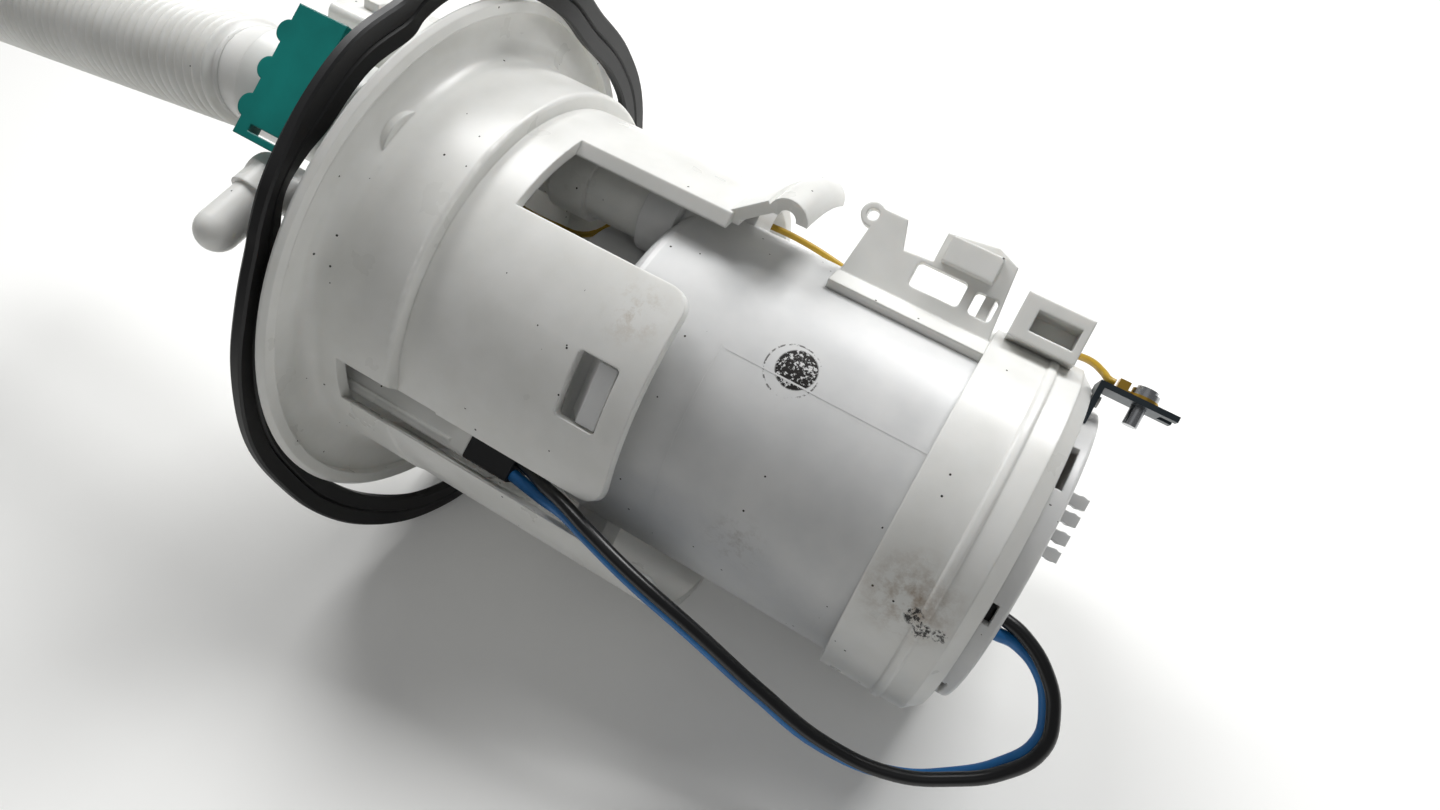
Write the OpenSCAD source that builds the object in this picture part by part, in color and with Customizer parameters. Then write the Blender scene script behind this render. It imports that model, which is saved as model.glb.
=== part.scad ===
// Fuel pump module that hangs in a tank: flange, filter case, turbine pump, regulator and fuel line.
// The origin is the centre of the tank seat, and +Z points up, out of the tank.
// Plan angles are counted from the front, -Y, round towards -X.

/* [Flange] */
// Radius of the flange rim
rim_r = 64; // [63:0.5:66]
// Thickness of the rim
rim_t = 5; // [5:0.5:6]
// Width of the raised lip under the rim
lip_w = 3.5; // [3:0.5:5]
// Radius of the neck that drops into the tank opening
neck_r = 50; // [50:0.5:52]
// Depth of the neck below the seat
neck_h = 19; // [17:1:21]
// Wall of the neck and the legs
shell_t = 2.6; // [2:0.2:2.8]
// How far the legs step in from the neck
leg_step = 3.5; // [3:0.25:3.75]
// Depth of the lower edge of the band that joins the legs
band_h = 28.5; // [27:0.5:31]
// Depth of the front leg
front_leg_h = 70; // [68:1:74]
// Depth of the left leg
left_leg_h = 86; // [80:1:90]
// Depth of the right leg, above its hook
right_leg_h = 65; // [62:1:68]
// Thickness of the catches that hold the case in the legs
catch_h = 8; // [6:0.5:9]

/* [Gasket] */
// Width of the gasket band
gasket_w = 8.4; // [7:0.2:9]
// Thickness of the gasket
gasket_t = 2.6; // [2:0.2:3]

/* [Filter case] */
// Radius of the filter case
case_r = 38.1; // [37.5:0.1:38.5]
// Wall of the filter case
case_t = 2; // [1.6:0.2:2.2]
// Depth where the shoulder of the case reaches its full radius
shoulder_h = 55; // [53:1:57]
// Radius of the neck on top of the case
case_neck_r = 25; // [24:0.5:26]
// Depth of the top of that neck
case_top_h = 34; // [33:0.5:35]
// Number of pleats in the filter paper
pleats = 30; // [20:2:36]
// Thickness of the pleated paper, measured along a radius
paper_t = 2; // [1.6:0.2:2.4]

/* [Bottom cap] */
// Radius of the cap
cap_r = 40.7; // [40.7:0.1:42]
// Depth of the upper edge of the cap
cap_top_h = 121; // [118:1:124]
// Depth of the lower face of the cap
cap_h = 143; // [142:1:145]
// Height of the end cover below the cap
cover_h = 4; // [4:0.5:5]
// Length of the snap prongs below the end cover
prong_h = 5.5; // [4:0.5:7]

/* [Pump] */
// Radius of the pump shell
pump_r = 19; // [18.6:0.1:19.2]
// Wall of the pump shell
pump_t = 1.2; // [1:0.1:1.3]
// Height of the lower end of the pump above the face of the cap
pump_lift = 9; // [8.5:0.5:10]
// Length of the pump shell
pump_len = 74; // [72:0.5:75]
// Radius of the shaft
shaft_r = 2; // [1.6:0.1:2.2]
// Thickness of the impeller
impeller_t = 3.6; // [3:0.2:4]
// Number of vanes round the impeller
vanes = 30; // [20:1:36]
// Slots in the armature
slots = 8; // [6:1:10]

/* [Regulator] */
// Radius of the pressure regulator
reg_r = 11; // [10:0.5:12]
// Height of the regulator above the case neck
reg_h = 22; // [20:0.5:24]

/* [Fuel line] */
// Radius of the spigot under the quick connector
spigot_r = 4; // [3.8:0.1:4.2]
// Height of the spigot tip above the seat
spigot_h = 26; // [24:0.5:28]
// Outer radius of the corrugated hose
hose_r = 12; // [11:0.25:12]
// Pitch of the corrugations
hose_pitch = 3; // [2.5:0.25:4]
// Length of the corrugated hose
hose_len = 147; // [120:3:180]
// Lean of the hose from upright
lean = 11; // [8:1:13]
// Travel of the retainer when it is pulled to release the connector
release = 5; // [3:0.5:6]

/* [Wiring] */
// Diameter of each pump wire
wire_d = 2.8; // [2.4:0.1:2.8]
// Width of the external electrical socket
socket_w = 18; // [16:1:20]
// Height of the external socket above the flange
socket_h = 28; // [22:1:30]

/* [Hidden] */
$fn = 64;
// Clearances: a pressed fit, a sliding fit, and a gap round soft parts
press = 0.02;
slip = 0.08;
soft = 0.3;

// Flange
web_z = 2.2;
neck_in = neck_r - shell_t;
leg_r = neck_r - leg_step;
leg_in = leg_r - shell_t;
left_r = neck_r - 0.4;
rim_edge = 1;
rim_slope = 4.4;
rim_in = 8;
step_t = 2.4;
corner = 5;
left_corner = 12;
slot_y = -16;
slot_x0 = -31.8;
slot_x1 = -39.5;
slot_top = 5.5;
plateau_r = 56;
plateau_t = 3;
front_x1 = 13.8;
catch_out = leg_r - 1.2;
catch_gap = 0.6;
catch_lip = 4;
catch_z = 60;
catch_w = 13;
catch_angles = [15, 95, -82];
// Gasket section, and rows of plan angle, outer edge beyond the rim, height over the rim, tilt
gasket_cut = 0.5;
gasket_section = [[-gasket_w, -gasket_cut], [gasket_cut - gasket_w, 0], [-gasket_w / 2 - gasket_cut, 0],
    [-gasket_w / 2, -gasket_cut], [-gasket_w / 2 + gasket_cut, 0], [-gasket_cut, 0], [0, -gasket_cut],
    [0, gasket_cut - gasket_t], [-gasket_cut, -gasket_t], [-gasket_w / 2 + gasket_cut, -gasket_t],
    [-gasket_w / 2, gasket_cut - gasket_t], [-gasket_w / 2 - gasket_cut, -gasket_t],
    [gasket_cut - gasket_w, -gasket_t], [-gasket_w, gasket_cut - gasket_t]];
gasket_rows = [[-180, 2.5, -9.5, 0], [-150, 2.5, -9, 0], [-116, 4.6, -8.6, 0], [-99, 3.6, -8.4, 0],
    [-82, 2.8, -8.8, -3], [-69, 6.4, -8.9, -8], [-60, 9, -6.4, -14], [-52, 9.6, -3, -15],
    [-45, 9, 0.2, -12], [-38, 6.4, 2.4, -5], [-33, 4.2, 2.9, 0], [-22, 4.8, 2.9, 0], [-10, 3.6, 2.9, 0],
    [-3, 3.6, 2.1, -14], [5, 4, 0.9, -24], [12, 2.6, 1.1, -18], [17, 1.6, 1.2, -16],
    [27, 1.4, 1.2, -17], [36, 1.7, 1.6, -12], [47, 2.3, 2.1, -6], [61, 4, 2.5, -4], [74, 5.9, 1.7, -6],
    [86, 9, -1.4, -4], [96, 10.2, -5.5, 0], [106, 8.6, -10.6, 6], [116, 4, -15, 6], [126, 0.6, -16.5, 0],
    [138, 0, -15.6, 0], [150, 0.2, -14, 0], [165, 2, -11, 0], [180, 2.5, -9.5, 0]];
// Port stub beside the quick connector
stub_x = -5;
stub_y = -53.5;
stub_z = 15.5;
stub_r = 4.3;
stub_len = 19;
stub_turn = 28;
post_r = 5;
// Quick connector
port_x = 14;
port_y = -42;
port_bore = 2.4;
qc_r = 12;
qc_z0 = rim_t + plateau_t + 0.4;
qc_h = 27;
bead_z = 17;
bead_t = 2;
bead_r = 4.8;
leg_gap = 4.15;
leg_t = 1.4;
tab_w = 28;
tab_y = 18;
tab_t = 3;
tab_z0 = rim_t + plateau_t + 3.4;
tab_h = 12;
// Outlet tube
out_x = 28.4;
out_y = -16.8;
out_r = 7;
out_bore = 4;
out_floor = -50;
out_roof = -6.6;
seal_r = 1.15;
seal_c = 5.5;
out_z0 = out_floor + 2 * seal_r + 0.1;
out_z1 = out_roof - 2 * seal_r - 0.1;
boss_w = 1.6;
gallery_z = -1.6;
gallery_r = 4.2;
// External and internal sockets
ext_x = 35.2;
ext_y = -33.3;
ext_turn = 53;
ext_d = 10;
wall = 1.6;
in_x = -33.7;
in_y = -24;
in_w = 8.2;
in_d = 8.8;
in_h = 36;
in_wall = 1.2;
pin_w = 1.2;
pin_gap = 3;
// Filter case
dome_h = 9;
case_in = case_r - case_t;
case_bot = cap_h - 3.2;
fil_in = 23.8;
fil_out = case_in - 1.3;
fil_top = 62;
disc_t = 1.6;
fil_bot = case_bot - disc_t;
// Bottom cap and well
well_in = 21;
well_t = 1.6;
pump_h = cap_h - pump_lift;
pump_top = pump_h - pump_len;
well_top = pump_top - 5;
bead_h = cap_h - 9;
cover_r = 34;
cover_t = 1.8;
cover_z = -cap_h - cover_h;
floor_z = cover_z + cover_t;
collar_h = 3;
collar_r = well_in - slip;
collar_t = 2.1;
cover_slots = [[-42, -24], [17, 25], [60, 78], [110, 128], [150, 168], [200, 218], [250, 268]];
lead_angles = [66, 92];
lead_t = 0.8;
lead_z = cover_z + cover_t + 0.6;
peg_x = 34;
peg_r = 1.2;
wire_r = wire_d / 2;
// Pump
shell_in = pump_r - pump_t;
crimp = 0.9;
part_r = shell_in - slip;
core_r = 14;
core_z0 = pump_h - 19;
core_z1 = pump_h - 54;
mag_t = 2.6;
plate_t = 4;
off_out = 9;
nipple_r = 4;
nipple_top = pump_top - 9.4;
brush_r = 7.5;
brush_w = 4;
brush_h = 6.5;
comm_r = 10.5;
comm_t = 2.6;
comm_top = pump_top + 13.5;
bush_r = 3.6;
bush_t = 4;
imp_r = 15;
inlet_top = pump_h - crimp - plate_t;
imp_top = inlet_top - impeller_t - 2 * slip;
check_seat = pump_top;
relief_seat = pump_top + 6;
ball_r = 2.2;
ball_hole = 1.5;
cushion_in = 15.4;
// Regulator
reg_z0 = case_top_h;
reg_wall = 1;
reg_port = 6;
reg_neck = 6;
reg_ring = 0.95;
// Sender bracket and ground parts
br_y = -20;
br_t = 2.2;
strip_x = 36.5;
strip_y = -15;
strip_t = 1.2;
strip_w = 8;
screw_z = -cap_h - 9;
screw_r = 1.5;
// Wire routes, chosen by hand in the hang that the wires take
black_route = [[-32.6, -26.4, -47.4], [-33.2, -27, -51], [-34, -29.5, -56], [-34.4, -32.5, -62],
    [-36, -35, -70], [-39, -35, -82], [-43, -31, -98], [-47.5, -26, -114], [-50.5, -22.5, -130],
    [-49, -21, -144], [-44, -21, -153.5], [-38, -22, -160.5], [-30, -24, -164.5], [-23, -25, -163],
    [-17, -26, -158.5], [-13, -26, -152], [-12, -26, -147.5], [-12, -26, -145.25]];
blue_route = [[-35.9, -26.4, -47.4], [-36.4, -27.2, -51], [-37.2, -29.5, -56], [-37.4, -33, -62],
    [-39.4, -36.4, -70], [-42, -37, -82], [-46.4, -33.4, -98], [-50.6, -29.4, -113],
    [-51.4, -27.4, -124], [-49.4, -25.6, -137], [-44.8, -23.6, -146.5], [-41.2, -24.4, -152],
    [-36.4, -25.6, -158],
    [-30, -27.2, -161.4], [-24.2, -28.2, -160], [-19, -28, -156], [-16, -27, -151],
    [-15.2, -26, -147.5], [-15.2, -26, -145.25]];
ground_route = [[38.95, -15, -145.9], [39, -14.8, -145], [40.4, -12, -143.4], [42.4, -7, -140.6],
    [43.2, 0, -136], [42.2, 6, -128], [40.9, 10.5, -117], [38.6, 11, -104], [38.5, 10, -92], [40.2, 7, -81],
    [41.2, 6, -70], [41, 6, -58], [41, 6, -45], [38, 8, -35], [30, 14, -25], [20, 12, -19],
    [18, 10, -10], [18, 10, 2.2]];

// Direction in plan at an angle counted from the front towards the left
function plan(a) = [-sin(a), -cos(a)];

// Two-dimensional rectangle with round corners, between two opposite corners
module plate2d(a, b, r) {
    w = b - a;
    translate(a + [r, 0]) square([w[0] - 2 * r, w[1]]);
    translate(a + [0, r]) square([w[0], w[1] - 2 * r]);
    for (x = [a[0] + r, b[0] - r], y = [a[1] + r, b[1] - r])
        translate([x, y]) circle(r);
}

// Ring with square edges between two depths, given as heights
module ring(ro, ri, z0, z1) {
    translate([0, 0, z0]) difference() {
        cylinder(r = ro, h = z1 - z0);
        translate([0, 0, -1]) cylinder(r = ri, h = z1 - z0 + 2);
    }
}

// Wedge in plan between two angles, for cutting sectors
module wedge(a0, a1, r, z0, z1) {
    far = r / cos((a1 - a0) / 8);
    translate([0, 0, z0]) linear_extrude(z1 - z0)
        polygon(concat([[0, 0]], [for (i = [0:4]) far * plan(a0 + (a1 - a0) * i / 4)]));
}

// Sector of a profile turned about the axis, between two plan angles
module sector(a0, a1) {
    rotate([0, 0, 270 - a1]) rotate_extrude(angle = a1 - a0) children();
}

// Outline in the plane that faces a plan angle, cut straight through from the axis outwards
module facing(a, depth = 90) {
    rotate([0, 0, -a]) rotate([90, 0, 0]) linear_extrude(depth) children();
}

// Tube swept along a route of points, with rings square to the bend
function unit(v) = v / norm(v);
function tangent(p, i) = unit(p[min(i + 1, len(p) - 1)] - p[max(i - 1, 0)]);
function sideways(t) = unit(cross(t, abs(t[1]) > 0.9 ? [1, 0, 0] : [0, 1, 0]));
function ring_at(c, t, r, n) = [for (k = [0:n - 1])
    c + r * (cos(360 * k / n) * sideways(t) + sin(360 * k / n) * cross(t, sideways(t)))];
function curve(p, i, u) = let(
    a = p[max(i - 1, 0)], b = p[i], c = p[i + 1], d = p[min(i + 2, len(p) - 1)])
    0.5 * (2 * b + (c - a) * u + (2 * a - 5 * b + 4 * c - d) * u * u
        + (3 * b - a - 3 * c + d) * u * u * u);
function smooth(p, n) = concat([for (i = [0:len(p) - 2], k = [0:n - 1]) curve(p, i, k / n)],
    [p[len(p) - 1]]);
module sweep(path, r, n = 8) {
    rings = len(path);
    pts = [for (i = [0:rings - 1]) each ring_at(path[i], tangent(path, i), r, n)];
    sides = [for (i = [0:rings - 2], k = [0:n - 1])
        [i * n + k, i * n + (k + 1) % n, (i + 1) * n + (k + 1) % n, (i + 1) * n + k]];
    ends = [[for (k = [0:n - 1]) n - 1 - k], [for (k = [0:n - 1]) (rings - 1) * n + k]];
    polyhedron(points = pts, faces = concat(sides, ends), convexity = 10);
}

// Coil spring between two heights
module spring(r, wire, z0, z1, turns) {
    steps = turns * 12;
    path = [for (i = [0:steps]) [r * cos(i * 30), r * sin(i * 30),
        z0 + wire + (z1 - z0 - 2 * wire) * i / steps]];
    sweep(path, wire, 6);
}

// Flange cover
module rim_profile() {
    polygon([[rim_r - lip_w, 0], [rim_r - rim_edge, 0], [rim_r, rim_edge], [rim_r, 1.4 * rim_edge],
        [rim_r - rim_slope, rim_t], [rim_r - rim_in, rim_t], [rim_r - rim_in, web_z],
        [rim_r - lip_w, web_z]]);
    translate([0, web_z]) square([rim_r - rim_in + 0.5, rim_t - web_z]);
    translate([plateau_r - 3, web_z]) plate2d([0, 0], [3, rim_t + plateau_t - web_z], 0.6);
    translate([neck_in, -neck_h + step_t / 2]) square([shell_t, neck_h + web_z]);
    difference() {
        translate([neck_r - 0.1, web_z - 4]) square([4.1, 4.1]);
        translate([neck_r + 4, web_z - 4]) circle(4);
    }
    translate([leg_in, -neck_h]) plate2d([0, 0], [neck_r - leg_in, step_t], step_t / 2 - 0.2);
    translate([leg_in, -band_h]) square([shell_t, band_h - neck_h + step_t / 2]);
}

module leg_shell(r, h) {
    ring(r, r - shell_t, -h, -neck_h + 1);
}

module front_leg() {
    intersection() {
        leg_shell(leg_r, front_leg_h + 2);
        facing(0) plate2d([slot_x0, -front_leg_h], [front_x1, corner], corner);
    }
}

module left_leg() {
    half = left_r * sin(40);
    intersection() {
        ring(left_r, left_r - shell_t, -left_leg_h - 2, -neck_h + 4);
        facing(92) plate2d([-half, -left_leg_h], [half, left_corner], left_corner);
    }
}

module right_leg() {
    half = leg_r * sin(37);
    intersection() {
        leg_shell(leg_r, right_leg_h);
        facing(-82) plate2d([-half, -right_leg_h - 2 * corner], [half, corner], corner);
    }
    sector(-72, -46) hook_profile();
}

// Curled end of the right leg
module hook_profile() {
    bar = 10;
    translate([leg_r - shell_t, -right_leg_h]) rotate(-52) square([bar, shell_t]);
    translate([leg_r + 3.6, -right_leg_h - 11]) difference() {
        circle(4.4);
        circle(1.9);
        translate([-10, -10]) square([10, 20]);
    }
    translate([leg_in, -right_leg_h - 1.5]) square([shell_t, 3]);
}

module catch_window(a) {
    facing(a) plate2d([-catch_w / 2 - catch_gap, -catch_z - catch_h / 2 - catch_gap],
        [catch_w / 2 + catch_gap, -catch_z + catch_h / 2 + catch_gap], 1);
}

module port_stub() {
    translate([stub_x, stub_y, 0]) {
        translate([0, 0, web_z]) cylinder(r = post_r, h = stub_z - web_z + 3);
        translate([0, 0, stub_z]) rotate([0, 0, 180 + stub_turn]) rotate([0, 90, 0]) {
            cylinder(r = post_r + 0.2, h = post_r + 0.3);
            cylinder(r = stub_r, h = stub_len - stub_r);
            translate([0, 0, stub_len - stub_r]) sphere(stub_r);
        }
    }
}

module at_socket() {
    translate([ext_x, ext_y, 0]) rotate([0, 0, ext_turn]) children();
}

module external_socket() at_socket() {
    translate([0, 0, rim_t - 0.5]) linear_extrude(socket_h + 0.5)
        plate2d([-socket_w / 2, -ext_d / 2], [socket_w / 2, ext_d / 2], 2);
    translate([-4, -ext_d / 2 - 2, rim_t + socket_h - 9]) cube([8, 3, 4]);
}

module inner_socket() {
    translate([in_x, in_y, -in_h]) linear_extrude(in_h + web_z + 0.5)
        plate2d([-in_w / 2, -in_d / 2], [in_w / 2, in_d / 2], 0.8);
    for (i = [-1, 1])
        translate([in_x + i * 2.2 - 0.4, in_y - in_d / 2 - 0.5, -in_h + 4]) cube([0.8, 1, in_h - 2]);
}

module fuel_gallery(r, extra) {
    dx = out_x - port_x;
    dy = out_y - port_y;
    translate([port_x, port_y, gallery_z]) rotate([0, 0, atan2(dy, dx)]) rotate([0, 90, 0])
        translate([0, 0, -extra]) cylinder(r = r, h = norm([dx, dy]) + extra);
}

module flange_body() difference() {
    union() {
        rotate_extrude() rim_profile();
        front_leg();
        left_leg();
        right_leg();
    }
    // The slot that shows the inner socket
    translate([slot_x1, -80, -left_leg_h - 5])
        cube([slot_x0 - 0.2 - slot_x1, 80 + slot_y, left_leg_h + 5 - slot_top]);
    translate([slot_x0 - 2, -80, -band_h - 0.5])
        cube([2.4, 80 + slot_y, band_h + 0.5 - slot_top]);
}

module flange_cover() color("whitesmoke") difference() {
    union() {
        flange_body();
        port_stub();
        external_socket();
        inner_socket();
        translate([port_x, port_y, 0]) rotate_extrude() {
            square([spigot_r, spigot_h]);
            square([8, rim_t + 2]);
            translate([0, bead_z]) plate2d([0, 0], [bead_r, bead_t], 0.4);
        }
        intersection() {
            fuel_gallery(gallery_r, gallery_r);
            cylinder(r = neck_r - 1, h = 40, center = true);
        }
        translate([out_x, out_y, -12]) cylinder(r = out_r + 2, h = 12 + web_z + 1);
        for (a = [150, 190, 230])
            rotate([0, 0, -a]) translate([-1, -plateau_r + 1, rim_t - 0.5]) cube([2, 20, 2.5]);
    }
    for (a = catch_angles) catch_window(a);
    // Fuel way: down the spigot, along the gallery, into the outlet tube
    translate([port_x, port_y, gallery_z - port_bore]) cylinder(r = port_bore, h = spigot_h + 10);
    fuel_gallery(port_bore - 0.3, 0);
    translate([out_x, out_y, out_roof - 1]) cylinder(r = port_bore, h = gallery_z + port_bore - out_roof + 1);
    translate([out_x, out_y, out_roof - 7]) cylinder(r = out_r + slip, h = 7);
    // Cavities of the two sockets, with their pins
    at_socket() translate([0, 0, rim_t + 4]) linear_extrude(socket_h)
        plate2d([wall - socket_w / 2, wall - ext_d / 2], [socket_w / 2 - wall, ext_d / 2 - wall], 1);
    translate([in_x, in_y, -in_h - 1]) linear_extrude(in_h - 5) square([in_w - 2 * in_wall,
        in_d - 2 * in_wall], center = true);
    terminal_shape();
}

// Loose gasket: pulled over the rim at the front, and round the neck below the rim at the back
function gasket_ring(row) = [for (p = gasket_section) let(
    r = rim_r + row[1] + p[0] * cos(row[3]) - p[1] * sin(row[3]),
    z = rim_t + row[2] + p[0] * sin(row[3]) + p[1] * cos(row[3])) [-r * sin(row[0]), -r * cos(row[0]), z]];
module flange_gasket() color([0.07, 0.07, 0.08]) {
    rows = smooth(gasket_rows, 4);
    rings = len(rows) - 1;
    n = len(gasket_section);
    polyhedron(points = [for (i = [0:rings - 1]) each gasket_ring(rows[i])],
        faces = [for (i = [0:rings - 1], k = [0:n - 1]) [i * n + k, i * n + (k + 1) % n,
            (i + 1) % rings * n + (k + 1) % n, (i + 1) % rings * n + k]], convexity = 10);
}

// Two bus bars that run through the flange deck from the outer socket to the inner one
module terminal_shape() {
    z = (web_z + rim_t - pin_w) / 2;
    dx = ext_x - in_x;
    dy = ext_y - in_y;
    for (i = [-1, 1]) translate([0, i * pin_gap / 2, 0]) {
        translate([in_x - pin_w / 2, in_y - pin_w / 2, -in_h + 8])
            cube([pin_w, pin_w, in_h - 8 + z + pin_w]);
        translate([in_x, in_y, z]) rotate([0, 0, atan2(dy, dx)])
            translate([0, -pin_w / 2, 0]) cube([norm([dx, dy]), pin_w, pin_w]);
        translate([ext_x - pin_w / 2, ext_y - pin_w / 2, z]) cube([pin_w, pin_w, socket_h - 6]);
    }
}

module terminal_pins() color("darkgoldenrod") terminal_shape();

// Quick connector, in the frame of the port
module at_port() {
    translate([port_x, port_y, 0]) children();
}

module leaning() {
    at_port() translate([0, 0, qc_z0 + qc_h]) rotate([-lean, 0, 0]) rotate([0, -lean / 2, 0]) children();
}

module quick_connector() color("white") {
    difference() {
        union() {
            at_port() translate([0, 0, qc_z0]) cylinder(r = qc_r, h = qc_h);
            leaning() translate([0, 0, -2]) cylinder(r = qc_r - 1.5, h = 8);
            leaning() cylinder(r = 5.4, h = 14);
        }
        at_port() translate([0, 0, qc_z0 - 1]) cylinder(r = spigot_r + slip, h = spigot_h - qc_z0 + 1.6);
        // Room for the spigot bead, a groove for the O-rings, and the fuel way
        at_port() translate([0, 0, qc_z0 - 1]) cylinder(r = bead_r + 0.5, h = bead_z + bead_t + 1.5 - qc_z0);
        at_port() translate([0, 0, spigot_h - 5]) cylinder(r = 6.2, h = 4.4);
        at_port() translate([0, 0, qc_z0]) cylinder(r = port_bore, h = qc_h - 2);
        leaning() translate([0, 0, -4]) cylinder(r = port_bore + 0.5, h = 20);
        // Way for the retainer
        at_port() translate([-6.2, -20, tab_z0 + 1.6]) cube([12.4, 26 + release, bead_z - tab_z0 - 0.6]);
    }
}

module connector_retainer() color([0, 0.5, 0.46]) at_port() {
    difference() {
        union() {
            translate([-tab_w / 2, -tab_y, tab_z0]) cube([tab_w, tab_t, tab_h]);
            for (i = [-1:1])
                translate([i * 8, -tab_y + tab_t / 2, tab_z0 + tab_h - 0.4]) rotate([90, 0, 0])
                    cylinder(r = 2.4, h = tab_t, center = true);
            for (s = [-1, 1])
                translate([s * (leg_gap + leg_t / 2) - leg_t / 2, -tab_y + tab_t - 0.5, tab_z0 + 1.8])
                    cube([leg_t, tab_y + 2.5, bead_z - tab_z0 - 1.9]);
        }
        translate([-tab_w / 2 + 1.5, -tab_y - 1, tab_z0 + 2]) cube([1.4, tab_t + 2, tab_h - 5]);
    }
}

module connector_orings() color([0.1, 0.1, 0.1]) at_port()
    for (z = [spigot_h - 4, spigot_h - 1.6])
        translate([0, 0, z]) rotate_extrude() translate([5.1, 0]) circle(0.95);

// Corrugated hose, stretched along its own leaning axis
module corrugated_hose() color("white") leaning() translate([0, 0, 6.05]) difference() {
    rotate_extrude() polygon(concat([[0, 0], [hose_r - 1, 0]],
        [for (i = [1:floor(hose_len / hose_pitch) - 1], k = [0:3])
            [hose_r - (k < 2 ? 1.6 : 0), (i + [-0.25, 0, 0.2, 0.55][k]) * hose_pitch]],
        [[hose_r - 1, hose_len], [0, hose_len]]));
    translate([0, 0, -1]) cylinder(r = hose_r - 2.6, h = hose_len + 2);
}

module fuel_line() color([0.15, 0.15, 0.15]) leaning() ring(4.4, 3.2, 14.05, 6.05 + hose_len - 6);

module hose_end_fitting() color("white") leaning() translate([0, 0, 6.1 + hose_len])
    difference() {
        rotate_extrude() {
            square([hose_r + 0.6, 14]);
            translate([0, 14]) plate2d([0, 0], [hose_r - 2, 8], 1);
            translate([0, -6]) square([4.4, 8]);
        }
        translate([0, 0, -7]) cylinder(r = 3.2, h = 12);
        translate([0, 0, 4]) cylinder(r = spigot_r + slip, h = 30);
        translate([-6, -20, 6]) cube([12, 40, 4.4]);
    }

// Outlet tube between the filter case and the flange gallery
module outlet_tube() color([0.93, 0.93, 0.91]) translate([out_x, out_y, 0]) difference() {
    union() {
        translate([0, 0, out_z0]) cylinder(r = out_r, h = out_z1 - out_z0);
        translate([0, 0, -30]) cylinder(r = out_r + 1.4, h = 9);
    }
    translate([0, 0, out_z0 - 1]) cylinder(r = out_bore, h = out_z1 - out_z0 + 2);
}

module outlet_orings() color([0.1, 0.1, 0.1]) translate([out_x, out_y, 0])
    for (z = [out_floor + seal_r + 0.05, out_roof - seal_r - 0.05])
        translate([0, 0, z]) rotate_extrude() translate([seal_c, 0]) circle(seal_r);

// Filter case: an open can with a domed shoulder and a neck on top
module case_profile(o) {
    r = case_r - o;
    translate([0, -case_bot - o]) square([r, case_bot + o - shoulder_h]);
    translate([0, -shoulder_h - 1]) square([case_neck_r - o, shoulder_h + 1 - case_top_h - o]);
    // Quarter dome drawn as a plain polygon along an ellipse
    translate([0, -shoulder_h]) polygon(concat([[0, 0]],
        [for (t = [0:7.5:90]) [r * cos(t), (dome_h - o) * sin(t)]]));
}

module filter_case() color([0.86, 0.88, 0.9]) difference() {
    union() {
        difference() {
            union() {
                rotate_extrude() case_profile(0);
                for (a = catch_angles) case_catch(a);
            }
            rotate_extrude() case_profile(case_t);
        }
        translate([out_x, out_y, out_floor - 2]) cylinder(r = out_r + boss_w, h = -out_floor + 2 - 44);
        translate([out_x, out_y, out_floor - 7]) cylinder(r = out_bore + 1.8, h = 8);
        ring(reg_port + 4, reg_port + slip, -case_top_h - reg_neck, -case_top_h - 1);
    }
    translate([out_x, out_y, out_floor]) cylinder(r = out_r + slip, h = 20);
    translate([out_x, out_y, out_floor - 8]) cylinder(r = out_bore, h = 20);
    translate([0, 0, -case_top_h - 10]) cylinder(r = reg_port + slip, h = 20);
}

// Catch with a lead-in ramp and a ledge, square to the leg that holds it
module case_catch(a) {
    reach = catch_out + (a == catch_angles[1] ? leg_step : 0);
    low = -catch_z - catch_h / 2;
    rotate([90, 0, -90 - a]) translate([0, 0, -catch_w / 2]) linear_extrude(catch_w)
        polygon([[case_in, low], [reach, low], [reach, low + catch_lip],
            [case_r + 1, low + catch_h], [case_in, low + catch_h]]);
}

// Paper folded round the well, as one closed zigzag band
module filter_element() color([0.9, 0.86, 0.72]) {
    outer = [for (i = [0:2 * pleats - 1]) let(r = i % 2 == 0 ? fil_out : fil_in + paper_t)
        r * [cos(180 * i / pleats), sin(180 * i / pleats)]];
    inner = [for (i = [0:2 * pleats - 1]) let(r = i % 2 == 0 ? fil_out - paper_t : fil_in)
        r * [cos(180 * i / pleats), sin(180 * i / pleats)]];
    translate([0, 0, -fil_bot]) linear_extrude(fil_bot - fil_top) difference() {
        polygon(outer);
        polygon(inner);
    }
}

module filter_end_discs() color([0.82, 0.82, 0.8]) {
    ring(fil_out + 0.4, fil_in - 0.6, -fil_top, -fil_top + disc_t);
    ring(fil_in + 0.4, fil_in - 0.6, -fil_top, out_floor - 0.6);
    ring(fil_out + 0.4, fil_in - 0.6, -case_bot, -fil_bot);
}

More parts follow.
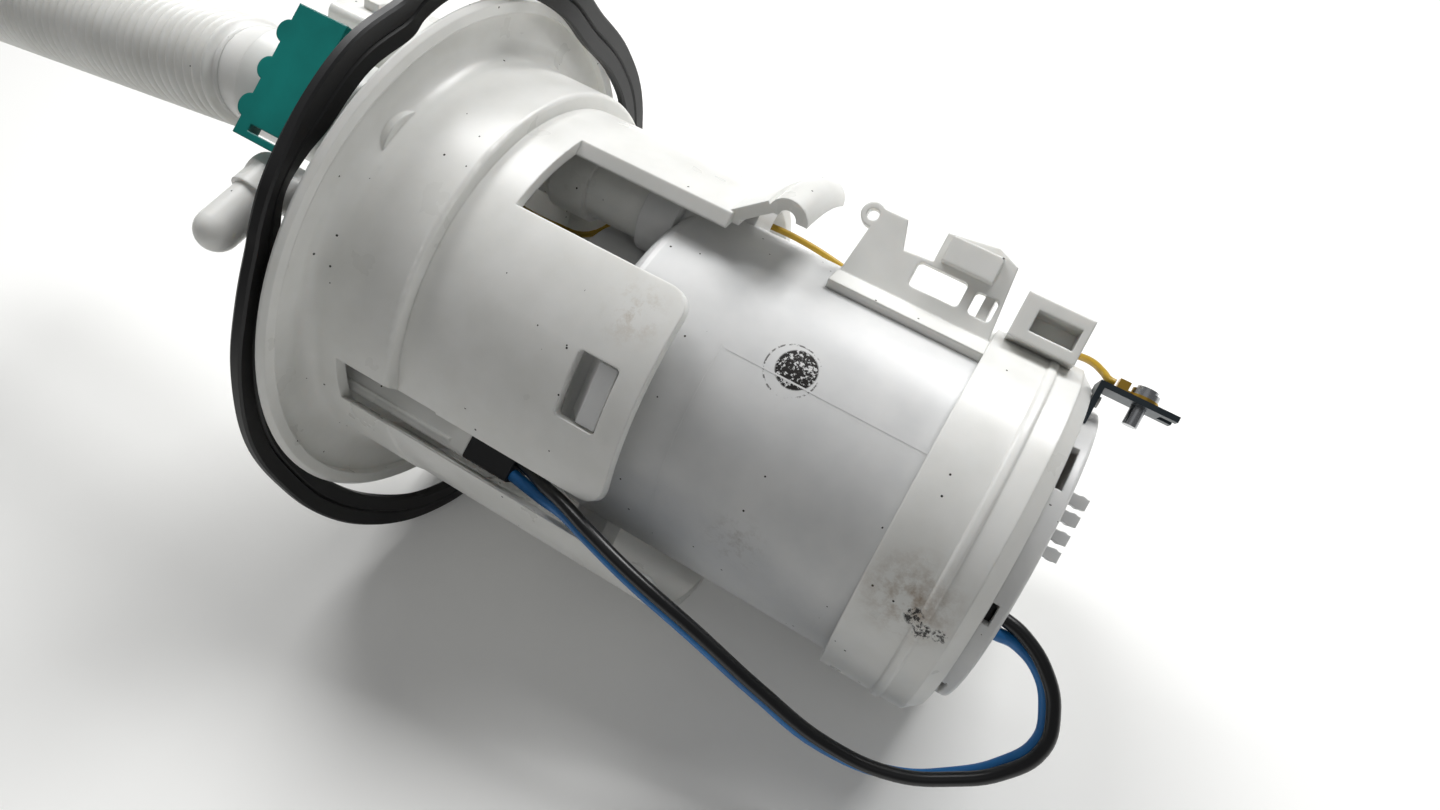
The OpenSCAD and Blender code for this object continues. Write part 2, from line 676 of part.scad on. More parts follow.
// Bottom cap with the well that holds the pump
module bottom_cap() color("whitesmoke") difference() {
    union() {
        rotate_extrude() difference() {
            union() {
                translate([0, -cap_h + 3]) square([cap_r, cap_h - 3 - cap_top_h]);
                translate([0, -bead_h - 1.2]) plate2d([cap_r - 3, 0], [cap_r + 0.5, 2.4], 0.9);
                polygon([[0, -cap_h], [cap_r - 2.6, -cap_h], [cap_r, -cap_h + 3.2], [0, -cap_h + 3.2]]);
            }
            translate([0, -case_bot]) square([case_r + press, cap_h]);
        }
        ring(case_r - 0.1, well_in, -cap_h, -case_bot - press);
        ring(well_in + well_t, well_in, -cap_h, -well_top);
        translate([0, 0, -well_top - 2]) cylinder(r = well_in + well_t, h = 2);
        sender_pocket();
        translate([peg_x, strip_y, -cap_h - 2]) cylinder(r = peg_r, h = 3);
    }
    translate([0, off_out, -well_top - 3]) cylinder(r = nipple_r + slip, h = 5);
    translate([0, 0, -cap_h - 3]) cylinder(r = well_in, h = cap_h - case_bot + 3.5);
    translate([cap_r - 1.4, -24, -135.4]) cube([4.6, 8.6, 9]);
}

// Pocket on the cap where the sender wiring lands
module sender_pocket() {
    translate([37, -23, -137]) cube([9.5, 10, 14]);
}

// End cover with inlet slots, a raised wall and two pairs of snap prongs
module end_cover() color([0.9, 0.92, 0.93]) difference() {
    union() {
        translate([0, 0, cover_z]) rotate_extrude() difference() {
            plate2d([-5, 0], [cover_r, cover_h - press], 0.8);
            translate([-10, -1]) square([10, 20]);
        }
        ring(collar_r, collar_r - collar_t, cover_z + 1, -cap_h + collar_h);
        for (x = [3, 6.8, 11, 14.8])
            translate([x - 1.2, -14, cover_z - prong_h]) prong();
    }
    difference() {
        ring(cover_r - 1.8, 0, floor_z, -cap_h + 1);
        ring(collar_r, collar_r - collar_t, cover_z, -cap_h + 2);
    }
    for (i = [-3:3]) translate([i * 4.4 - 1, -7, cover_z - 1]) cube([2, 16, cover_t + 2]);
    for (c = cover_slots) sector(c[0], c[1]) translate([cover_r - 3, floor_z + 0.2]) square([5, 1.4]);
    for (p = [black_route, blue_route]) {
        last = p[len(p) - 1];
        translate([last[0], last[1], cover_z - 1]) cylinder(r = wire_r + 0.35, h = cover_t + 2);
    }
    // Gap in the collar where the leads pass
    sector(lead_angles[0] - 30, lead_angles[1] + 10)
        translate([collar_r - collar_t - 0.5, lead_z - soft]) square([3, 8]);
}

// Snap prong with a thick round head
module prong() {
    cube([2.4, 5, prong_h + 1]);
    translate([1.2, 0, 1.4]) rotate([-90, 0, 0]) cylinder(r = 1.4, h = 5);
}

module inlet_strainer() color([0.75, 0.72, 0.6])
    ring(collar_r - collar_t - 0.1, 0, floor_z, floor_z + 0.4);

module pump_cushion() color([0.12, 0.12, 0.12]) difference() {
    union() {
        ring(well_in - soft, pump_r + soft, -pump_h - soft, -pump_h + 8);
        ring(well_in - soft, cushion_in, -cap_h + collar_h + soft, -pump_h - soft);
    }
    for (a = lead_angles)
        sector(a - 9, a + 9) translate([pump_r + 0.1, -cap_h]) square([4, cap_h - pump_h + 10]);
}

// Pump shell, rolled in at both ends
module pump_shell() color([0.62, 0.64, 0.66]) {
    ring(pump_r, shell_in, -pump_h, -pump_top);
    ring(shell_in + 0.1, shell_in - 1.4, -pump_h, -pump_h + crimp);
    ring(shell_in + 0.1, shell_in - 1.4, -pump_top - crimp, -pump_top);
}

module pump_outlet_cover() color([0.85, 0.83, 0.78]) difference() {
    union() {
        ring(part_r, 0, -comm_top + 0.3, -pump_top - crimp);
        ring(shell_in - 1.6, 0, -pump_top - crimp - 0.1, -pump_top + 2);
        translate([0, off_out, -pump_top]) cylinder(r = nipple_r, h = pump_top - nipple_top);
    }
    translate([0, 0, -comm_top]) cylinder(r = bush_r + press, h = bush_t + 1);
    translate([0, 0, -comm_top]) cylinder(r = shaft_r + 0.4, h = bush_t + 3);
    for (s = [-1, 1])
        translate([s * brush_r - brush_w / 2 - slip, -brush_w / 2 - slip, -comm_top])
            cube([brush_w + 2 * slip, brush_w + 2 * slip, comm_top - pump_top]);
    translate([0, off_out, -check_seat]) cylinder(r = 2.8, h = 20);
    translate([0, off_out, -comm_top - 1]) cylinder(r = 1.8, h = 20);
    translate([0, -off_out, -relief_seat]) cylinder(r = 2.6, h = 20);
    translate([0, -off_out, -comm_top - 1]) cylinder(r = ball_hole, h = 20);
}

// Plate over the impeller, with the annular channel and the passage to the motor
module pump_body_plate() color([0.8, 0.8, 0.8]) translate([0, 0, -imp_top]) difference() {
    cylinder(r = part_r, h = plate_t);
    translate([0, 0, -1]) cylinder(r = shaft_r + 0.4, h = 10);
    translate([0, 0, -0.01]) ring(14.6, 11.8, 0, 1.4);
    rotate([0, 0, 200]) translate([13.2, 0, -1]) cylinder(r = 1.3, h = 10);
}

module pump_inlet_cover() color([0.8, 0.8, 0.8]) difference() {
    union() {
        ring(part_r, 0, -pump_h + crimp, -inlet_top);
        ring(part_r, imp_r + slip, -inlet_top - 0.1, -imp_top - press);
        ring(shell_in - 1.6, 10, -pump_h, -pump_h + 1);
    }
    translate([0, 0, -inlet_top - 3]) cylinder(r = bush_r + press, h = 4);
    ring(14.6, 11.8, -inlet_top - 1.4, -inlet_top + 0.1);
    rotate([0, 0, 160]) translate([13.2, 0, -pump_h - 2]) cylinder(r = 1.3, h = 10);
}

module magnets() color([0.25, 0.25, 0.27])
    for (s = [90, -90])
        sector(s - 72, s + 72) translate([part_r - mag_t, -core_z0 - 1])
            square([mag_t, core_z0 - core_z1 + 2]);

module armature_core() color([0.5, 0.5, 0.52]) difference() {
    ring(core_r, shaft_r + press, -core_z0, -core_z1);
    for (i = [0:slots - 1]) rotate([0, 0, 360 * i / slots]) {
        translate([9, -2.2, -core_z0 - 1]) cube([3.4, 4.4, core_z0 - core_z1 + 2]);
        translate([12, -0.8, -core_z0 - 1]) cube([4, 1.6, core_z0 - core_z1 + 2]);
    }
}

module windings() color([0.72, 0.45, 0.2]) {
    for (i = [0:slots - 1]) rotate([0, 0, 360 * i / slots])
        translate([9.1, -2.1, -core_z0 - 0.5]) cube([3.2, 4.2, core_z0 - core_z1 + 1]);
    for (z = [-core_z0 - 2.6, -core_z1 + press])
        translate([0, 0, z]) rotate_extrude() plate2d([5, 0], [12.4, 2.6 - press], 1);
}

module commutator() color([0.6, 0.4, 0.25]) difference() {
    union() {
        ring(comm_r, shaft_r + press, -comm_top - comm_t, -comm_top);
        ring(4.6, shaft_r + press, -core_z1 + 2.7, -comm_top - 1);
    }
    for (i = [0:slots - 1]) rotate([0, 0, 360 * (i + 0.5) / slots])
        translate([5, -0.25, -comm_top - 0.8]) cube([8, 0.5, 2]);
}

module rotor_shaft() color([0.75, 0.75, 0.78])
    translate([0, 0, -inlet_top - 2.6]) cylinder(r = shaft_r, h = inlet_top + 2.6 - comm_top + bush_t);

module impeller() color([0.2, 0.18, 0.16]) translate([0, 0, -inlet_top + slip]) difference() {
    cylinder(r = imp_r, h = impeller_t);
    translate([0, 0, -1]) cylinder(r = shaft_r + press, h = 10);
    for (i = [0:vanes - 1]) rotate([0, 0, 360 * i / vanes])
        translate([12, -0.8, -1]) cube([2.2, 1.6, impeller_t + 2]);
}

module bush(z) {
    ring(bush_r, shaft_r + 0.03, z, z + bush_t);
}
module bush_upper() color([0.7, 0.55, 0.3]) bush(-comm_top + 0.6);
module bush_lower() color([0.7, 0.55, 0.3])
    ring(bush_r, shaft_r + 0.03, -inlet_top - 2.9, -inlet_top - 0.1);

module brush(s) {
    translate([s * brush_r - brush_w / 2, -brush_w / 2, -comm_top + press])
        cube([brush_w, brush_w, brush_h]);
}
module brush_left() color([0.2, 0.2, 0.2]) brush(-1);
module brush_right() color([0.2, 0.2, 0.2]) brush(1);
module brush_spring(s) {
    translate([s * brush_r, 0, 0]) spring(1.5, 0.25, -comm_top + brush_h + 0.05, -pump_top - 0.05, 4);
}
module brush_spring_left() color([0.6, 0.6, 0.6]) brush_spring(-1);
module brush_spring_right() color([0.6, 0.6, 0.6]) brush_spring(1);

// Check valve: a disc on a stem that the spring holds on its seat
module check_valve() color([0.3, 0.3, 0.3]) translate([0, off_out, -check_seat + press]) {
    cylinder(r = 2.5, h = 1.6);
    cylinder(r = 0.8, h = 4.6);
}
module check_spring() color([0.65, 0.65, 0.65]) translate([0, off_out, 0])
    spring(1.6, 0.22, -check_seat + 1.7, -nipple_top - 1.9, 4);
module check_stop() color([0.5, 0.5, 0.5]) translate([0, off_out, 0])
    ring(2.8 - press, 1.3, -nipple_top - 1.8, -nipple_top - 0.2);

module relief_ball() color([0.75, 0.75, 0.78])
    translate([0, -off_out, -relief_seat + sqrt(ball_r * ball_r - ball_hole * ball_hole) + press])
        sphere(ball_r);
module relief_spring() color([0.65, 0.65, 0.65]) translate([0, -off_out, 0])
    spring(1.6, 0.22, -relief_seat + ball_r + 1.1, -pump_top - 0.1, 3);
module relief_plug() color([0.5, 0.5, 0.5]) translate([0, -off_out, 0])
    ring(2.6 - press, 0.9, -pump_top, -pump_top + 1.8);

// Pressure regulator on the neck of the case
module regulator_body() color([0.68, 0.69, 0.7]) translate([0, 0, -reg_z0]) difference() {
    rotate_extrude() difference() {
        union() {
            translate([0, press]) square([reg_r, reg_h]);
            translate([0, 9]) plate2d([0, 0], [reg_r + 1.6, 3], 0.8);
            translate([0, -reg_neck]) square([reg_port, reg_neck + 1]);
        }
        translate([0, 5]) square([reg_r - reg_wall, reg_h - 5 - reg_wall]);
        translate([reg_port - 2 * reg_ring, -4]) square([3, 2.2]);
    }
    translate([0, 0, -7]) cylinder(r = 1.8, h = 20);
    translate([0, 0, reg_h - 3]) cylinder(r = 2.5, h = 6);
}
module regulator_valve() color([0.6, 0.5, 0.3]) translate([0, 0, -reg_z0 + 5 + press]) {
    cylinder(r = 3.4, h = 1.4);
    cylinder(r = reg_r - reg_wall - 0.4, h = 0.8);
}
module regulator_spring() color([0.65, 0.65, 0.65])
    spring(4.6, 0.4, -reg_z0 + 5.9, -reg_z0 + reg_h - reg_wall - 0.05, 5);
module regulator_oring() color([0.1, 0.1, 0.1]) translate([0, 0, -reg_z0 - 2.9]) rotate_extrude()
    translate([reg_port - reg_ring + 0.05, 0]) circle(reg_ring);
module regulator_clip() color([0.62, 0.64, 0.66]) difference() {
    ring(reg_r + 3, reg_r + press, -reg_z0 + 12 + press, -reg_z0 + 13);
    translate([-30, 4, -reg_z0 + 11]) cube([60, 30, 4]);
}

// Terminal block in the end cover and the two leads up the side of the pump
module terminal_block() color([0.15, 0.15, 0.15])
    translate([-16.8, -27, floor_z + 0.1]) cube([6.4, 4.4, -cap_h - floor_z - 0.3]);

// Flat strip between two points of a plan, at the height of the leads
module strip(p, q) {
    d = q - p;
    translate([p[0], p[1], lead_z]) rotate([0, 0, atan2(d[1], d[0])])
        translate([-0.8, -0.8, 0]) cube([norm(d) + 1.6, 1.6, lead_t]);
}

module pump_leads() color("darkgoldenrod") {
    for (a = lead_angles) sector(a - 6, a + 6) {
        translate([pump_r + 0.5, lead_z]) square([lead_t, -pump_top + 2.9 - lead_z]);
        translate([pump_r - 5, -pump_top + 2.1]) square([5.5 + lead_t, lead_t]);
    }
    inner = 19.9 * plan(lead_angles[0]);
    outer = 19.9 * plan(lead_angles[1]);
    strip(inner, [-12, -21.4]);
    strip(outer, [-23.6, -4]);
    strip([-23.6, -4], [-21.6, -15]);
    strip([-21.6, -15], [-16, -20]);
    strip([-16, -20], [-16, -21.7]);
}

module pump_plug() color([0.08, 0.08, 0.08]) {
    translate([in_x, in_y, -in_h - 11.2]) linear_extrude(11.15)
        plate2d([-in_w / 2, -in_d / 2], [in_w / 2, in_d / 2], 0.8);
    translate([in_x, in_y, -in_h - 1]) difference() {
        linear_extrude(8) square([in_w - 2 * in_wall - 0.3, in_d - 2 * in_wall - 0.3], center = true);
        for (i = [-1, 1])
            translate([0, i * pin_gap / 2, 5]) cube([pin_w + 0.3, pin_w + 0.3, 20], center = true);
    }
}

module wire_black() color([0.06, 0.06, 0.07]) sweep(smooth(black_route, 3), wire_r);
module wire_blue() color([0.08, 0.4, 0.72]) sweep(smooth(blue_route, 3), wire_r);

// Bracket for the level sender, a wall that stands off the side of the case
module sender_bracket() color("whitesmoke") {
    difference() {
        translate([0, br_y + br_t / 2, 0]) rotate([90, 0, 0]) linear_extrude(br_t) difference() {
            union() {
                polygon([[31, -87], [44, -88.5], [49.5, -89], [49.5, -95], [43.5, -97],
                    [44, -103.5], [50.5, -103.5], [52, -114], [50, -119], [31, -cap_top_h + 0.1]]);
                translate([47.5, -88]) circle(2.6);
            }
            translate([47.5, -88]) circle(1.3);
            translate([37.5, -112]) plate2d([0, 0], [5.5, 11], 1);
            translate([37.5, -119]) plate2d([0, 0], [5, 5], 1);
        }
        cylinder(r = case_r + press, h = 300, center = true);
    }
    translate([44.5, br_y - br_t / 2 - 2.4, -116]) cube([5.5, 2.5, 11]);
    intersection() {
        ring(case_r + 2.1, case_r + press, -cap_top_h, -87);
        wedge(-70, -50, 60, -150, -60);
    }
    difference() {
        translate([32, br_y, -118]) cube([16, 10, 2]);
        cylinder(r = case_r + press, h = 300, center = true);
    }
}

// Ground strip, its fork end, screw and ring terminal
module ground_bracket() color([0.3, 0.32, 0.34]) difference() {
    union() {
        translate([strip_x, strip_y - strip_w / 2, -cap_h - 16]) cube([strip_t, strip_w, 16 - press]);
        translate([strip_x - 8, strip_y - strip_w / 2, -cap_h - strip_t - press])
            cube([8.5, strip_w, strip_t]);
    }
    translate([strip_x - 1, strip_y, screw_z]) rotate([0, 90, 0]) cylinder(r = screw_r + slip, h = 4);
    translate([strip_x - 1, strip_y - 1.6, -cap_h - 17]) cube([4, 3.2, 4]);
    translate([peg_x, strip_y, -cap_h - 3]) cylinder(r = peg_r + slip, h = 4);
    cylinder(r = cover_r + 0.1, h = 400, center = true);
}
module ground_screw() color([0.6, 0.62, 0.65]) translate([0, strip_y, screw_z]) rotate([0, 90, 0]) {
    translate([0, 0, strip_x - 4]) cylinder(r = screw_r, h = strip_t + 5.2);
    translate([0, 0, strip_x + strip_t + 0.85]) cylinder(r = 2.75, h = 1.2);
    translate([0, 0, strip_x + strip_t + 2.04]) cylinder(r = 2.1, h = 0.8);
}
module ring_terminal() color([0.75, 0.6, 0.2]) difference() {
    union() {
        translate([strip_x + strip_t + press, strip_y, screw_z]) rotate([0, 90, 0]) cylinder(r = 3, h = 0.8);
        translate([strip_x + strip_t + press, strip_y - 1.3, screw_z]) cube([0.8, 2.6, 5.6]);
        translate([strip_x + strip_t + press, strip_y - 1.3, screw_z + 3.4]) cube([2.4, 2.6, 2.2]);
    }
    translate([strip_x - 1, strip_y, screw_z]) rotate([0, 90, 0]) cylinder(r = screw_r + slip, h = 9);
}
module ground_wire() color([0.72, 0.6, 0.12]) sweep(smooth(ground_route, 2), 0.8);

flange_cover();
flange_gasket();
terminal_pins();
quick_connector();
connector_retainer();
connector_orings();
corrugated_hose();
fuel_line();
hose_end_fitting();
outlet_tube();
outlet_orings();
filter_case();
filter_element();
filter_end_discs();
bottom_cap();
end_cover();
inlet_strainer();
pump_cushion();
pump_shell();
pump_outlet_cover();
pump_body_plate();
pump_inlet_cover();
magnets();
armature_core();
windings();
commutator();
rotor_shaft();
impeller();
bush_upper();
bush_lower();
brush_left();
brush_right();
brush_spring_left();
brush_spring_right();
check_valve();
check_spring();
check_stop();
relief_ball();
relief_spring();
relief_plug();
regulator_body();
regulator_valve();
regulator_spring();
regulator_oring();
regulator_clip();
terminal_block();
pump_leads();
pump_plug();
wire_black();
wire_blue();
sender_bracket();
ground_bracket();
ground_screw();
ring_terminal();
ground_wire();
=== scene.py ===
# %% [markdown]
# # Fuel pump module lying on a white table
# The module hangs upright in a tank, so its frame has +Z out of the tank and its
# origin at the centre of the flange seat. The photograph shows it lying down. The
# camera is turned round the model, and not the model, so that each solid of the
# frame stays where the mechanism needs it.

# %% Load the frame
import math

import bmesh
import bpy
from mathutils import Matrix, Vector


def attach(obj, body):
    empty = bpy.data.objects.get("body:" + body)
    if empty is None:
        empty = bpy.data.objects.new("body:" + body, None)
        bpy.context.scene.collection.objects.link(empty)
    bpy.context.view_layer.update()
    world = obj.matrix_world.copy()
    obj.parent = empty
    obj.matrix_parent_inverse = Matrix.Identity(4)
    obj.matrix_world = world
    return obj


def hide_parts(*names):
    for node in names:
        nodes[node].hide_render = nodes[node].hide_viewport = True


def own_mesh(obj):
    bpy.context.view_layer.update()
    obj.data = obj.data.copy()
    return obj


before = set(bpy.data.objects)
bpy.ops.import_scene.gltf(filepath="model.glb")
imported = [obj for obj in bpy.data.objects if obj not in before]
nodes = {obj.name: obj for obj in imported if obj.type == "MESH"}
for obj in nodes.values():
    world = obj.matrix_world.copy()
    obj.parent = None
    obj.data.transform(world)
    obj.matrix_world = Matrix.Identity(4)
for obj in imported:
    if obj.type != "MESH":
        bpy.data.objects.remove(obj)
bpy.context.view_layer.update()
MM = 0.001


def point(x, y, z):
    """A place in millimetres, as Blender's metres."""
    return Vector((x, y, z)) * MM


# %% [markdown]
# ## The camera
# The photograph was taken from close by with a moderately wide lens, so the far
# side shrinks. The lens and the place come from sizes on the flange and the case,
# and the three directions say how the lying module was turned in front of it.

# %% Place the camera
def put(name, data):
    """An object of this data, in the scene."""
    thing = bpy.data.objects.new(name, data)
    bpy.context.scene.collection.objects.link(thing)
    return thing


lens = bpy.data.cameras.new("photo_lens")
lens.lens = 23.75
lens.sensor_width = 36
lens.clip_start = 0.01
camera = put("photo_camera", lens)
right = Vector((0.473, 0.206, -0.856))
up = Vector((0.880, -0.099, 0.463))
ahead = Vector((-0.011, 0.974, 0.229))
turn = Matrix((right, up, -ahead)).transposed().to_4x4()
camera.matrix_world = Matrix.Translation(point(0, -214.2, -123.9)) @ turn
bpy.context.scene.camera = camera
print("camera looks along", tuple(round(v, 2) for v in ahead))

# %% [markdown]
# ## Small tools
# Each colour is written as the hex value that a screen shows, and one function
# turns it to linear light. A material is a chain of nodes, so one function adds a
# node with its settings and links. Patterns read Object coordinates, which are
# metres here, so a scale of 1000 gives features one millimetre apart.

# %% Colours and nodes
# Sockets of the Mix node for colours: its share, the colour below, the colour above, and the result
SHARE, BELOW, ABOVE, MIXED = 0, 6, 7, 2


def shade(code):
    """Linear colour of an sRGB hex value."""
    parts = [int(code[i:i + 2], 16) / 255 for i in (0, 2, 4)]
    return [c / 12.92 if c < 0.04045 else ((c + 0.055) / 1.055) ** 2.4 for c in parts] + [1]


def add(material, kind, links=None, **settings):
    """Adds a node to a material or the world: links feed its inputs, and in_NAME sets the value of one."""
    node = material.node_tree.nodes.new(kind)
    for name, value in settings.items():
        if name.startswith("in_"):
            node.inputs[name[3:].replace("_", " ")].default_value = value
        else:
            setattr(node, name, value)
    for name, source in (links or {}).items():
        material.node_tree.links.new(source, node.inputs[name])
    return node


def new_material(name):
    """An empty material with its output node and Object coordinates."""
    material = bpy.data.materials.new(name)
    material.use_nodes = True
    material.node_tree.nodes.clear()
    where = add(material, "ShaderNodeTexCoord")
    out = add(material, "ShaderNodeOutputMaterial")
    return material, where.outputs["Object"], out


print("white of the acetal in linear light", [round(c, 3) for c in shade("E9E9E6")])

# %% [markdown]
# ## How a finish is made
# Real plastic and metal are never one flat colour. A finish wanders slowly between
# two tones, has a fine grain, and may hold specks of dust and marks of handling. A
# mark is a ball of colour round a place, and noise wears holes in it. Edges of
# moulded pieces are a little round, and the Bevel node bends the light as if they
# were, which spares the mesh. The real grain of a tool mark or a plated skin is
# about a tenth of a millimetre, too fine for the picture, so grain_mm draws it as
# coarse as it needs to show.

# %% Marks
# Noise from which a mark covers, how much cover lowers that, the width of its edge, its blur for each
# millimetre of soft edge, and the cover of the faintest mark
WORN_FROM, WORN_DROP, WORN_WIDTH, WORN_BLUR, WORN_LEAST = 0.62, 0.25, 0.04, 0.035, 0.35


def stain(material, where, colour, spot):
    """Soils what lies in a ball or a shell. A spot is place, radius, inner radius and soft edge in
    millimetres, then hex value, grain in millimetres, and cover from 0 to 1."""
    place, radius, inner, edge, code, grain, cover = spot
    gap = add(material, "ShaderNodeVectorMath", {0: where}, operation="DISTANCE")
    gap.inputs[1].default_value = point(*place)
    near = add(material, "ShaderNodeMapRange", {"Value": gap.outputs["Value"]})
    near.inputs["From Min"].default_value = radius * MM
    near.inputs["From Max"].default_value = (radius - edge) * MM
    clear = add(material, "ShaderNodeMath", {0: gap.outputs["Value"]}, operation="GREATER_THAN")
    clear.inputs[1].default_value = inner * MM
    patch = add(material, "ShaderNodeTexNoise", {"Vector": where}, in_Scale=1 / (grain * MM), in_Detail=4.0,
                in_Roughness=0.7)
    worn = add(material, "ShaderNodeMapRange", {"Value": patch.outputs["Fac"]})
    begin = WORN_FROM - WORN_DROP * cover
    worn.inputs["From Min"].default_value = begin
    worn.inputs["From Max"].default_value = begin + WORN_WIDTH + WORN_BLUR * edge
    worn.inputs["To Max"].default_value = min(WORN_LEAST + cover, 1.0)
    both = add(material, "ShaderNodeMath", {0: near.outputs["Result"], 1: worn.outputs["Result"]},
               operation="MULTIPLY")
    kept = add(material, "ShaderNodeMath", {0: both.outputs[0], 1: clear.outputs[0]}, operation="MULTIPLY")
    mix = add(material, "ShaderNodeMix", {SHARE: kept.outputs[0], BELOW: colour}, data_type="RGBA")
    mix.inputs[ABOVE].default_value = shade(code)
    return mix.outputs[MIXED]


print("a mark covers where its noise is above", WORN_FROM)

# %% Finishes
# Noise cells to the metre: mottling about 11 mm across, at most one speck of dust to 4 mm, and patches of
# about 14 mm that hold the specks
MOTTLE, SPECK_CELLS, SPECK_PATCHES = 90.0, 260.0, 70.0
# Noise up to which the dark tone and from which the light tone is pure
TONE_DARK, TONE_LIGHT = 0.3, 0.7
# Noise above which a patch holds specks, and their colour
SPECK_FROM, SPECK_SHADE = 0.52, "1E1A17"
# How far the roughness strays to either side, the least of it, and the strength of the fine grain
GLOSS_SPREAD, GLOSS_LEAST, GRAIN_STRENGTH = 0.08, 0.05, 0.6


def surface(name, base, dark, rough, grain_mm=0.5, depth_mm=0.02, specks=0.0, stains=(), edge_mm=0.0,
            **sockets):
    """A moulded, cast or plated finish: slow mottling between two colours, fine grain, dust specks, marks
    of handling, and edges that catch the light as if they were rounded."""
    material, where, out = new_material(name)
    slow = add(material, "ShaderNodeTexNoise", {"Vector": where}, in_Scale=MOTTLE, in_Detail=3.0,
               in_Roughness=0.55)
    tone = add(material, "ShaderNodeValToRGB", {"Fac": slow.outputs["Fac"]})
    for stop, at, code in zip(tone.color_ramp.elements, (TONE_DARK, TONE_LIGHT), (dark, base)):
        stop.position = at
        stop.color = shade(code)
    colour = tone.outputs["Color"]
    if specks:
        spots = add(material, "ShaderNodeTexVoronoi", {"Vector": where}, in_Scale=SPECK_CELLS,
                    in_Randomness=1.0)
        size = add(material, "ShaderNodeMath", {0: spots.outputs["Distance"]}, operation="LESS_THAN")
        size.inputs[1].default_value = specks
        pick = add(material, "ShaderNodeTexNoise", {"Vector": where}, in_Scale=SPECK_PATCHES)
        few = add(material, "ShaderNodeMath", {0: pick.outputs["Fac"]}, operation="GREATER_THAN")
        few.inputs[1].default_value = SPECK_FROM
        both = add(material, "ShaderNodeMath", {0: size.outputs[0], 1: few.outputs[0]},
                   operation="MULTIPLY")
        mix = add(material, "ShaderNodeMix", {SHARE: both.outputs[0], BELOW: colour}, data_type="RGBA")
        mix.inputs[ABOVE].default_value = shade(SPECK_SHADE)
        colour = mix.outputs[MIXED]
    for spot in stains:
        colour = stain(material, where, colour, spot)
    fine = add(material, "ShaderNodeTexNoise", {"Vector": where}, in_Scale=1 / (grain_mm * MM), in_Detail=2.0)
    gloss = add(material, "ShaderNodeMapRange", {"Value": slow.outputs["Fac"]})
    gloss.inputs["To Min"].default_value = max(rough - GLOSS_SPREAD, GLOSS_LEAST)
    gloss.inputs["To Max"].default_value = min(rough + GLOSS_SPREAD, 1.0)
    bump = add(material, "ShaderNodeBump", {"Height": fine.outputs["Fac"]}, in_Strength=GRAIN_STRENGTH)
    bump.inputs["Distance"].default_value = depth_mm * MM
    if edge_mm:
        rounded = add(material, "ShaderNodeBevel", in_Radius=edge_mm * MM, samples=4)
        material.node_tree.links.new(rounded.outputs["Normal"], bump.inputs["Normal"])
    skin = add(material, "ShaderNodeBsdfPrincipled",
               {"Base Color": colour, "Roughness": gloss.outputs["Result"], "Normal": bump.outputs["Normal"]})
    for socket, value in sockets.items():
        skin.inputs[socket.replace("_", " ")].default_value = value
    material.node_tree.links.new(skin.outputs["BSDF"], out.inputs["Surface"])
    return material


print("dust specks lie in cells of", round(1000 / SPECK_CELLS, 1), "mm")

# %% Pieces of the frame and pieces of this script


def dress(material, *names):
    """Gives CAD nodes a finish through their own slots."""
    for name in names:
        thing = nodes[name]
        if not thing.material_slots:
            thing.data.materials.append(material)
        for place in thing.material_slots:
            place.link = "OBJECT"
            place.material = material


def solid(name, shape):
    """Turns a bmesh into a mesh."""
    mesh = bpy.data.meshes.new(name)
    shape.to_mesh(mesh)
    shape.free()
    return mesh


def piece(name, mesh, material, body):
    """A mesh with its finish, as an object that rides on a body."""
    thing = put(name, mesh)
    mesh.materials.append(material)
    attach(thing, body)
    return thing


print("nodes to dress", len(nodes))

# %% [markdown]
# ## The cords
# Two pump wires leave the plug in the slot, bow out of the side and come back to
# the lower cover. They are held at both ends and lie in the loose bow of the
# photograph. Each is a curve with a round bevel, between the same ends as its
# solid. The blue wire lies a little closer behind the black one than its solid.

# %% Finishes of the wires
# Soft PVC drawn smooth over the strands: black, with a long narrow highlight
black_skin = surface("wire PVC black", "0E0F12", "08090B", 0.32, grain_mm=0.4, depth_mm=0.01)
# The same insulation dyed a clear blue, which the light lifts along its top
blue_skin = surface("wire PVC blue", "1F78BE", "165F9C", 0.34, grain_mm=0.4, depth_mm=0.01)
# Thin ochre insulation with a harder skin, so a little duller
ochre_skin = surface("wire PVC ochre", "BE9A22", "A07F18", 0.38, grain_mm=0.4, depth_mm=0.01)


def wire(name, points, diameter, material, node):
    """One insulated wire through points in millimetres, held at both ends."""
    line = bpy.data.curves.new(name, "CURVE")
    line.dimensions = "3D"
    line.bevel_depth = diameter / 2 * MM
    line.bevel_resolution = 4
    line.use_fill_caps = True
    line.resolution_u = 6
    spline = line.splines.new("BEZIER")
    spline.bezier_points.add(len(points) - 1)
    for knot, place in zip(spline.bezier_points, points):
        knot.co = point(*place)
        knot.handle_left_type = knot.handle_right_type = "AUTO"
    line.materials.append(material)
    thing = put(name, line)
    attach(thing, "module")
    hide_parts(node)


